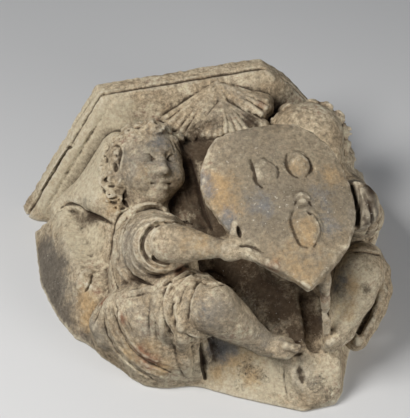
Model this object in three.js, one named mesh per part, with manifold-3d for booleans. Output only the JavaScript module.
// Carved stone wall corbel: two seated child figures hold a shield under a three-sided moulded abacus.
// Millimetres. X runs along the wall, Y into it and Z up. The origin is on the wall face, behind the
// middle of the shield. Places are given as how far aside, how far out of the wall and how far up; those
// of the figures are counted in head heights from the seat.

import * as THREE from "three";
import { mergeVertices } from "three/addons/utils/BufferGeometryUtils.js";
import Module from "manifold-3d";

const wasm = await Module();
wasm.setup();

// Block and abacus: the mason's block is narrower on its right than on its left
const leftWidth = 221;
const rightWidth = 187;
const leftFront = 125;
const rightFront = 76;
const abacusDepth = 158;
const topUp = 205;
const footDown = 182;
const footAside = 14;
const footHalfWidth = 28;
const tailDepth = 34;
const fasciaHeight = 17;
const grooveHeight = 4;
const grooveInset = 4;
const bandHeight = 12;
const bandInset = 11;
const cavettoHeight = 15;
const cavettoInset = 32;
const beadHeight = 6;
const bellHeight = 45;
const bellOut = 112;
const keelOut = 96;
const keelHalfWidth = 34;
const flankInset = 90;
const footOut = 50;
const cornerBreak = 26;
const ledgeRadius = 16;

// Shield
const shieldHeight = 176;
const shieldWidth = 132;
const shieldThickness = 15;
const shieldBulge = 15;
const shieldLean = 27;
const shieldOut = 200;
const shieldDown = 98;

// Figures
const headHeight = 95;
const curlSize = 9;
const sleeveFolds = 5;
const fingerCount = 4;
const toeCount = 5;
const leftSeatIn = 93;
const rightSeatIn = 103;
const seatOut = 45;
const seatDown = 50;

// Leaf canopy over the shield
const leafLength = 80;
const leafSpread = 44;
const leafPleats = 7;
const pleatDepth = 7;
const leafBacking = 46;

function at(x, out, up) {
  return new THREE.Vector3(x, -out, up);
}

function closed(geometry) {
  const bare = geometry.clone();
  bare.deleteAttribute("normal");
  bare.deleteAttribute("uv");
  const merged = mergeVertices(bare, 1e-4);
  return new wasm.Manifold(
    new wasm.Mesh({
      numProp: 3,
      vertProperties: new Float32Array(merged.attributes.position.array),
      triVerts: new Uint32Array(merged.index.array),
    }),
  );
}

function join(solids) {
  return solids.reduce((sum, solid) => sum.add(solid));
}

// A closed body through rings of points, with its two ends filled.
function loft(rings) {
  const count = rings[0].length;
  const points = rings.flat();
  const faces = [];
  for (let row = 0; row < rings.length - 1; row += 1) {
    for (let i = 0; i < count; i += 1) {
      const a = row * count + i;
      const b = row * count + ((i + 1) % count);
      faces.push(a, b, a + count, b, b + count, a + count);
    }
  }
  for (const [row, flip] of [[0, true], [rings.length - 1, false]]) {
    const middle = rings[row].reduce((sum, p) => sum.add(p), new THREE.Vector3());
    points.push(middle.divideScalar(count));
    for (let i = 0; i < count; i += 1) {
      const a = row * count + i;
      const b = row * count + ((i + 1) % count);
      faces.push(...(flip ? [b, a, points.length - 1] : [a, b, points.length - 1]));
    }
  }
  let volume = 0;
  for (let i = 0; i < faces.length; i += 3) {
    const [a, b, c] = [points[faces[i]], points[faces[i + 1]], points[faces[i + 2]]];
    volume += a.dot(b.clone().cross(c));
  }
  const geometry = new THREE.BufferGeometry().setFromPoints(points);
  geometry.setIndex(volume < 0 ? faces.reverse() : faces);
  return closed(geometry);
}

// An ellipse of points round a centre, waved into folds where a fold depth is given.
function oval(centre, a, b, sides, folds = 0, depth = 0) {
  return Array.from({ length: sides }, (_, i) => {
    const turn = (i / sides) * 2 * Math.PI;
    const wave = 1 + depth * Math.cos(folds * turn);
    return centre
      .clone()
      .addScaledVector(a, Math.cos(turn) * wave)
      .addScaledVector(b, Math.sin(turn) * wave);
  });
}

// A body of revolution between two points: pairs of place along the line and radius.
function turned(from, to, profile, sides) {
  const line = to.clone().sub(from).normalize();
  const a = new THREE.Vector3(0, 0, 1).cross(line).normalize();
  const b = line.clone().cross(a);
  return loft(
    profile.map(([along, radius]) => {
      const centre = from.clone().lerp(to, along);
      return oval(centre, a.clone().multiplyScalar(radius), b.clone().multiplyScalar(radius), sides);
    }),
  );
}

// A round-ended limb between two points.
function limb(from, to, startRadius, endRadius, sides = 8) {
  const length = from.distanceTo(to);
  const dome = (sides > 6 ? [75, 35] : [50]).map((turn) => THREE.MathUtils.degToRad(turn));
  const start = dome.map((turn) => [(-startRadius * Math.sin(turn)) / length, startRadius * Math.cos(turn)]);
  const end = dome.map((turn) => [1 + (endRadius * Math.sin(turn)) / length, endRadius * Math.cos(turn)]);
  return turned(from, to, [...start, ...end.reverse()], sides);
}

// An egg shape, its three half sizes along the axes of a frame.
function egg(centre, frame, half, sides = 12) {
  const sphere = new THREE.SphereGeometry(1, sides, Math.ceil(sides * 0.7));
  const matrix = new THREE.Matrix4().makeBasis(
    ...frame.map((axis, i) => axis.clone().multiplyScalar(half[i])),
  );
  sphere.applyMatrix4(matrix.setPosition(centre));
  return closed(sphere);
}

// Three axes: to the right, up, and out of a face.
function frameOf(face, up) {
  const forward = face.clone().normalize();
  const right = up.clone().cross(forward).normalize();
  return [right, forward.clone().cross(right).normalize(), forward];
}

const level = frameOf(at(0, 1, 0), at(0, 0, 1));

// The abacus plan at a height, drawn in by an inset from its edges.
const leftSplay = (leftWidth - leftFront) / abacusDepth;
const rightSplay = (rightWidth - rightFront) / abacusDepth;

function plan(up, inset) {
  const depth = abacusDepth - inset;
  const left = leftWidth - inset * Math.hypot(1, leftSplay);
  const right = rightWidth - inset * Math.hypot(1, rightSplay);
  return [
    at(-left, 0, up),
    at(depth * leftSplay - left, depth, up),
    at((rightFront - leftFront) / 2, depth, up),
    at(right - depth * rightSplay, depth, up),
    at(right, 0, up),
  ];
}

function abacusAndCore() {
  const grooveTop = topUp - fasciaHeight;
  const bandTop = grooveTop - grooveHeight;
  const cavettoTop = bandTop - bandHeight;
  const beadTop = cavettoTop - cavettoHeight;
  const bellTop = beadTop - beadHeight;
  const bellFoot = bellTop - bellHeight;
  const rings = [
    plan(topUp, 0),
    plan(grooveTop, 0),
    plan(grooveTop - 1, grooveInset),
    plan(bandTop, grooveInset),
    plan(bandTop - 1, grooveInset / 2),
    plan(cavettoTop, bandInset),
    plan(cavettoTop - 1, bandInset + 3),
    plan(beadTop + cavettoHeight / 3, cavettoInset - 4),
    plan(beadTop, cavettoInset + 4),
    plan(beadTop - beadHeight / 2, cavettoInset),
    plan(bellTop, cavettoInset + 5),
  ];
  // Below the bell the block narrows to a keel with an arris down its middle, and ends in the foot.
  const bellDrop = bellFoot + footDown;
  for (const left of [1, 0.8, 0.55, 0.3, 0.15]) {
    const up = left * bellDrop - footDown;
    const aside = footAside * (1 - left);
    const waist = footHalfWidth + keelHalfWidth * left;
    const out = footOut + (keelOut - footOut) * left;
    rings.push([
      at(aside - footHalfWidth - (leftWidth - flankInset) * left, 0, up),
      at(aside - waist, left === 1 ? bellOut : out, up),
      at(aside, (left === 1 ? bellOut : out) + 4 + 16 * left, up),
      at(aside + waist, left === 1 ? bellOut : out, up),
      at(aside + footHalfWidth + (rightWidth - flankInset) * left, 0, up),
    ]);
  }
  const footRing = (share, out, up) =>
    [-1.15, -1, 0, 1, 1.15].map((x, i) => at(footAside + x * footHalfWidth * share, out * [0, 1, 1.06, 1, 0][i], up));
  rings.push(footRing(1, 38, 14 - footDown), footRing(0.8, 12, -footDown));
  return loft(rings);
}

// The rough rear of the block. It is as wide as the abacus and runs down to the foot in a blunt point.
const tailUps = [0.76, 0.56, 0.33, 0.09];
const tailDowns = [0.13, 0.33, 0.62, 0.8];
const tailLeft = [0.98, 1, 1.02, 0.99, 0.93, 0.77, 0.5, 0.3];
const tailRight = [0.98, 0.94, 0.86, 0.78, 0.66, 0.55, 0.38, 0.27];

function tail() {
  const heights = [...tailUps.map((share) => share * topUp), ...tailDowns.map((share) => -share * footDown)];
  const left = heights.map((up, i) => [-leftWidth * tailLeft[i], up]);
  const right = heights.map((up, i) => [rightWidth * tailRight[i], up]);
  const foot = footHalfWidth * 0.75;
  const outline = [
    ...left,
    [footAside - foot, -footDown],
    [footAside + foot, -footDown],
    ...right.reverse(),
  ];
  const ring = (out) =>
    outline.map(([x, up]) => {
      const drawn = 1 - (out * leftSplay) / Math.hypot(x, up);
      return at(x * drawn, out, up * drawn);
    });
  return loft([ring(0), ring(tailDepth), ring(1.5 * tailDepth)]);
}

// The shield's own frame, and a place on it in shares of its half width and half height.
const lean = THREE.MathUtils.degToRad(shieldLean);
const shieldFrame = frameOf(at(0, Math.cos(lean), -Math.sin(lean)), at(0, Math.sin(lean), Math.cos(lean)));

function onShield(across, up, proud = 0) {
  return at(0, shieldOut, -shieldDown)
    .addScaledVector(shieldFrame[0], (across * shieldWidth) / 2)
    .addScaledVector(shieldFrame[1], (up * shieldHeight) / 2)
    .addScaledVector(shieldFrame[2], proud);
}

// The outline runs from the top, down the left with its broken lower edge, and up the right.
const shieldOutline = [
  [0.2, 0.98],
  [-0.1, 1],
  [-0.45, 0.97],
  [-0.83, 0.9],
  [-1, 0.74],
  [-0.97, 0.2],
  [-0.9, -0.34],
  [-0.68, -0.54],
  [-0.5, -0.62],
  [-0.3, -0.78],
  [-0.04, -1],
  [0.3, -0.88],
  [0.68, -0.58],
  [0.9, -0.26],
  [0.87, 0.14],
  [0.73, 0.54],
  [0.52, 0.83],
];
const worn = [
  [-0.26, 0.36, 13, 17],
  [0.24, 0.42, 12, 15],
  [0.42, -0.2, 15, 21],
  [0.28, 0.12, 6, 6],
  [-0.2, -0.3, 10, 12],
];

function shield() {
  const ring = (size, proud) => shieldOutline.map(([x, y]) => onShield(x * size, y * size, proud));
  const crown = (size) => shieldBulge * (1 - size * size);
  const back = [0.05, 0.6, 0.97].map((size) => ring(size, 0.7 * crown(size) - shieldThickness));
  const front = [0.96, 0.75, 0.5, 0.25, 0.04].map((size) => ring(size, crown(size)));
  const lumps = worn.map(([x, y, width, height]) => {
    const proud = crown(Math.hypot(x, y)) - 1;
    return egg(onShield(x, y, proud), shieldFrame, [width, height, shieldThickness / 3], 8);
  });
  return join([loft([...back, ring(1, -shieldThickness / 3), ...front]), ...lumps]);
}

// A leaf of pleats that spreads down from a point.
function leaf(tip, down, length, spread, pleats, depth, back) {
  const across = level[0];
  const face = down.clone().cross(across).normalize();
  const steps = 2 * pleats;
  const rings = [0.06, 0.4, 0.75, 1].map((row) => {
    const edge = Array.from({ length: steps + 1 }, (_, i) => {
      const angle = THREE.MathUtils.degToRad(spread * ((2 * i) / steps - 1));
      return tip
        .clone()
        .addScaledVector(down, Math.cos(angle) * length * row)
        .addScaledVector(across, Math.sin(angle) * length * row)
        .addScaledVector(face, (i % 2 ? depth : 0) * row);
    });
    return [...edge, ...edge.map((p) => p.clone().addScaledVector(face, -back)).reverse()];
  });
  return loft(rings);
}

function canopy() {
  const leafTop = topUp - fasciaHeight - bandHeight - grooveHeight;
  const down = at(-0.2, 0, -0.98).normalize();
  // The stone behind the shield, which joins it to the block, and a thin strut behind its tip.
  const behind = -shieldThickness;
  return join([
    leaf(at(0, abacusDepth - 3, leafTop), down, leafLength, leafSpread, leafPleats, pleatDepth, leafBacking),
    leaf(
      at(0.1 * leafLength, abacusDepth + 8, leafTop - 0.42 * leafLength),
      down,
      0.7 * leafLength,
      0.7 * leafSpread,
      Math.ceil(leafPleats / 2),
      pleatDepth,
      leafBacking - 6,
    ),
    limb(at(0, bellOut - 40, 30), onShield(0, 0.45, behind - 12), 44, 26, 10),
    limb(at(footAside, keelOut - 40, -shieldDown / 2), onShield(0, 0.1, behind), 30, 14, 8),
    limb(at(footAside + 6, keelOut - 40, -shieldDown), onShield(0.2, -0.6, behind), 16, 9, 6),
  ]);
}

// A calm child's head: a rounded skull with soft features raised on it. Each feature has its turn from
// the front and its rise in degrees, its two spreads in degrees, and its height in head heights.
const features = [
  [0, -9, 7, 6, 0.1],
  [0, 4, 5, 9, 0.035],
  [19, 5, 9, 6, -0.03],
  [19, 5, 5, 3.5, 0.022],
  [17, 15, 13, 5, 0.02],
  [30, -18, 14, 13, 0.05],
  [0, -20, 9, 3, 0.035],
  [0, -28, 8, 3.5, 0.035],
  [0, -24, 11, 2, -0.015],
  [0, -42, 12, 9, 0.05],
];

function head(skull, frame) {
  const columns = 18;
  const rows = 15;
  const toAngle = THREE.MathUtils.radToDeg;
  const rings = Array.from({ length: rows }, (_, row) => {
    const step = (2 * row) / (rows - 1) - 1;
    const rise = -12 + Math.sign(step) * Math.abs(step) ** 1.6 * (step > 0 ? 96 : 70);
    const tilt = THREE.MathUtils.degToRad(rise);
    return Array.from({ length: columns }, (_, column) => {
      const even = (column / columns) * 2 * Math.PI;
      const turn = even - 0.6 * Math.sin(even);
      const away = Math.abs(toAngle(turn > Math.PI ? turn - 2 * Math.PI : turn));
      let height = 1;
      for (const [side, up, wide, high, amount] of features) {
        const x = (away - side) * Math.cos(tilt);
        height += 2.2 * amount * Math.exp(-((x / wide) ** 2) - ((rise - up) / high) ** 2);
      }
      return skull
        .clone()
        .addScaledVector(frame[0], 0.42 * headHeight * height * Math.sin(turn) * Math.cos(tilt))
        .addScaledVector(frame[1], 0.5 * headHeight * height * Math.sin(tilt))
        .addScaledVector(frame[2], 0.45 * headHeight * height * Math.cos(turn) * Math.cos(tilt));
    });
  });
  return loft(rings);
}

// Ringlets with a drilled middle: two rows on the outer side of the face, one on the inner side, and a
// tuft over the forehead. Each has its turn and rise in degrees.
function hair(side, skull, frame) {
  const places = [[-18, 54], [12, 58], [40, 48]];
  for (let row = 0; row < 4; row += 1) {
    places.push([side * (70 + (row % 2) * 8), 27 * row - 44]);
    places.push([side * (98 + (row % 2) * 8), 27 * row - 34]);
  }
  for (let row = 0; row < 2; row += 1) {
    places.push([-side * 72, 36 * row - 12]);
  }
  return places.map(([turn, rise]) => {
    const [a, b] = [turn, rise].map((angle) => THREE.MathUtils.degToRad(angle));
    const outward = frame[0]
      .clone()
      .multiplyScalar(0.95 * Math.sin(a) * Math.cos(b))
      .addScaledVector(frame[1], 1.1 * Math.sin(b))
      .addScaledVector(frame[2], Math.cos(a) * Math.cos(b));
    const centre = skull.clone().addScaledVector(outward, 0.47 * headHeight);
    const from = centre.clone().addScaledVector(outward, -curlSize);
    const to = centre.clone().addScaledVector(outward, curlSize * 0.6);
    const profile = [[0, 0.9], [0.7, 1], [0.85, 0.3]];
    return turned(from, to, profile.map(([along, share]) => [along, share * curlSize]), 5);
  });
}

// One seated figure. Side is -1 on the left and 1 on the right. The points of its pose are counted in
// head heights from its seat: towards the middle, out and up.
function figure(side, seat, pose) {
  const spot = ([inward, out, up]) => seat.clone().add(at(-side * inward, out, up).multiplyScalar(headHeight));
  const size = (share) => share * headHeight;
  const sized = (profile) => profile.map(([along, radius]) => [along, size(radius)]);
  const headFrame = frameOf(at(-side * 0.206, 0.752, -0.626), at(-side * 0.135, 0.612, 0.779));
  const skull = spot(pose.head);
  const shoulder = spot(pose.shoulder);
  const elbow = spot(pose.elbow);
  const knee = spot(pose.knee);
  const ankle = spot(pose.ankle);
  const toes = spot(pose.toes);

  // A sleeve of ring folds round the bent arm, and the hand on the shield's edge.
  const sleeve = [[-0.15, 0.3]];
  for (let fold = 0; fold < sleeveFolds; fold += 1) {
    const along = 0.1 + (0.72 * fold) / sleeveFolds;
    const radius = pose.sleeve - (0.27 * fold) / sleeveFolds;
    sleeve.push([along, radius - 0.05], [along + 0.07, radius]);
  }
  sleeve.push([0.86, 0.2], [0.8, 0.12]);
  const grip = onShield(side * 0.92, pose.grip, -4);
  const wrist = elbow.clone().lerp(grip, 0.75);
  const palm = wrist.clone().lerp(grip, 0.75);
  const arm = [
    turned(shoulder, elbow, sized(sleeve), 12),
    limb(elbow, wrist, size(0.2), size(0.1), 10),
    egg(palm, shieldFrame, [0.15, 0.12, 0.11].map(size), 8),
    limb(palm, onShield(side * 0.86, pose.grip + 0.26, 4), size(0.055), size(0.04), 6),
  ];
  for (let finger = 0; finger < fingerCount; finger += 1) {
    const tip = onShield(side * (0.78 - 0.11 * finger), pose.grip - 0.08 - 0.07 * finger, shieldBulge / 3);
    arm.push(limb(palm, tip, size(0.055), size(0.04), 5));
  }

  // The tunic: the trunk, the cloth drawn round the thigh, and the skirt over the block's lower edge.
  const hem = (out, long, short, depth) =>
    oval(
      spot([pose.hem, out, -0.2 - 0.1 * out]),
      at(-side * 0.66, 0.1, -0.75).multiplyScalar(size(long)),
      at(side * 0.75, 0.1, -0.66).multiplyScalar(size(short)),
      20,
      5,
      depth,
    );
  const wrap = [
    [0, 0.3],
    [0.3, 0.44],
    [0.62, 0.4],
    [0.67, 0.34],
    [0.73, 0.38],
    [0.8, 0.31],
    [0.86, 0.34],
    [0.92, 0.26],
    [0.86, 0.15],
  ];
  const tunic = [
    egg(spot([0.12, 0.2, 0.35]), level, [0.5, 0.66, 0.46].map(size), 12),
    loft([
      hem(-0.44, pose.skirt, 0.42, 0.03),
      hem(-0.1, pose.skirt + 0.02, 0.44, 0.06),
      hem(0.15, pose.skirt - 0.08, 0.42, 0.05),
      hem(0.4, pose.skirt - 0.26, 0.36, 0.04),
      hem(0.55, pose.skirt - 0.48, 0.24, 0.02),
    ]),
    turned(spot([pose.hem + 0.1, 0.1, -0.05]), knee, sized(wrap), 12),
  ];

  const shin = [
    [-0.24, 0.12],
    [-0.1, 0.24],
    [0.08, 0.265],
    [0.4, 0.225],
    [0.7, 0.165],
    [1, 0.13],
    [1.12, 0.06],
  ];
  const leg = [
    limb(spot([0.1, 0.2, -0.2]), knee, size(0.28), size(0.24), 10),
    turned(knee, ankle, sized(shin), 10),
    limb(ankle, ankle.clone().lerp(toes, 0.7), size(0.125), size(0.12), 8),
  ];
  for (let toe = 0; toe < toeCount; toe += 1) {
    const row = toe - (toeCount - 1) / 2;
    const aside = at(0, 0.05 * row, -0.035 * row).multiplyScalar(headHeight);
    const root = ankle.clone().lerp(toes, 0.65).add(aside);
    leg.push(limb(root, toes.clone().add(aside), size(0.055), size(0.05), 5));
  }
  const neck = limb(skull, spot([pose.head[0] - 0.18, 0.35, 0.9]), size(0.26), size(0.32), 10);
  return join([head(skull, headFrame), neck, ...hair(side, skull, headFrame), ...arm, ...tunic, ...leg]);
}

// The broken front corner of the abacus on the right.
function brokenCorner() {
  const wide = 4 * cornerBreak;
  const cut = new THREE.BoxGeometry(wide, wide, 2 * (fasciaHeight + bandHeight));
  const corner = at(rightFront, abacusDepth, topUp);
  const across = Math.atan2(1 + rightSplay, 2);
  cut.translate(0, -wide / 2 + cornerBreak / 3, 0);
  cut.rotateZ(across);
  cut.translate(corner.x, corner.y, corner.z);
  return closed(cut);
}

// The ledge that swings from the wall edge of the bell down to the figure's hair.
function ledge(side, width) {
  const path = [
    [width - 38, 34, 144],
    [width - 56, 56, 140],
    [width - 66, 68, 120],
    [width - 76, 82, 92],
  ].map(([x, out, up]) => at(side * x, out, up));
  return path.slice(1).map((point, i) => limb(path[i], point, ledgeRadius, ledgeRadius, 6));
}

const leftPose = {
  head: [0.38, 0.68, 1.65],
  shoulder: [0.16, 0.36, 0.55],
  elbow: [0.13, 1.28, -0.33],
  knee: [0.43, 0.79, -0.82],
  ankle: [0.98, 0.21, -0.97],
  toes: [1.25, 0.21, -1.12],
  sleeve: 0.46,
  grip: -0.36,
  skirt: 0.7,
  hem: -0.05,
};
const rightPose = {
  head: [-0.06, 0.68, 1.53],
  shoulder: [-0.06, 0.3, 0.42],
  elbow: [-0.14, 0.9, -0.08],
  knee: [0.07, 0.68, -0.58],
  ankle: [0.53, 0.21, -1.02],
  toes: [0.86, 0.21, -1.16],
  sleeve: 0.38,
  grip: -0.1,
  skirt: 0.5,
  hem: 0.12,
};

const stone = join([
  abacusAndCore(),
  tail(),
  canopy(),
  shield(),
  figure(-1, at(leftSeatIn - leftWidth, seatOut, -seatDown), leftPose),
  figure(1, at(rightWidth - rightSeatIn, seatOut, -seatDown), rightPose),
  ...ledge(-1, leftWidth),
  ...ledge(1, rightWidth),
]).subtract(brokenCorner());

// Everything behind the wall face is dressed off flat.
const behindWall = new THREE.BoxGeometry(4 * leftWidth, 2 * leftWidth, 4 * topUp);
behindWall.translate(0, leftWidth, 0);
const dressed = stone.subtract(closed(behindWall)).getMesh();

// The stone is solid right through, so a pocket shut in between two carvings is filled: its skin, which
// has a negative volume, is left out.
function withoutPockets(points, faces) {
  const groups = Array.from({ length: points.length / 3 }, (_, i) => i);
  const group = (i) => {
    let top = i;
    while (groups[top] !== top) top = groups[top];
    groups[i] = top;
    return top;
  };
  for (let i = 0; i < faces.length; i += 3) {
    groups[group(faces[i + 1])] = group(faces[i]);
    groups[group(faces[i + 2])] = group(faces[i]);
  }
  const corner = (i) => new THREE.Vector3().fromArray(points, 3 * faces[i]);
  const volumes = new Map();
  for (let i = 0; i < faces.length; i += 3) {
    const key = group(faces[i]);
    const volume = corner(i).dot(corner(i + 1).cross(corner(i + 2)));
    volumes.set(key, (volumes.get(key) ?? 0) + volume);
  }
  return faces.filter((_, i) => volumes.get(group(faces[i - (i % 3)])) > 0);
}

const skin = new THREE.BufferGeometry();
skin.setAttribute("position", new THREE.BufferAttribute(new Float32Array(dressed.vertProperties), 3));
skin.setIndex([...withoutPockets([...dressed.vertProperties], [...dressed.triVerts])]);
skin.computeVertexNormals();

const limestone = new THREE.MeshStandardMaterial({ color: 0xb3a184, roughness: 0.9, metalness: 0 });
const corbel = new THREE.Mesh(skin, limestone);
corbel.name = "corbel";

const group = new THREE.Group();
group.add(corbel);

export default group;
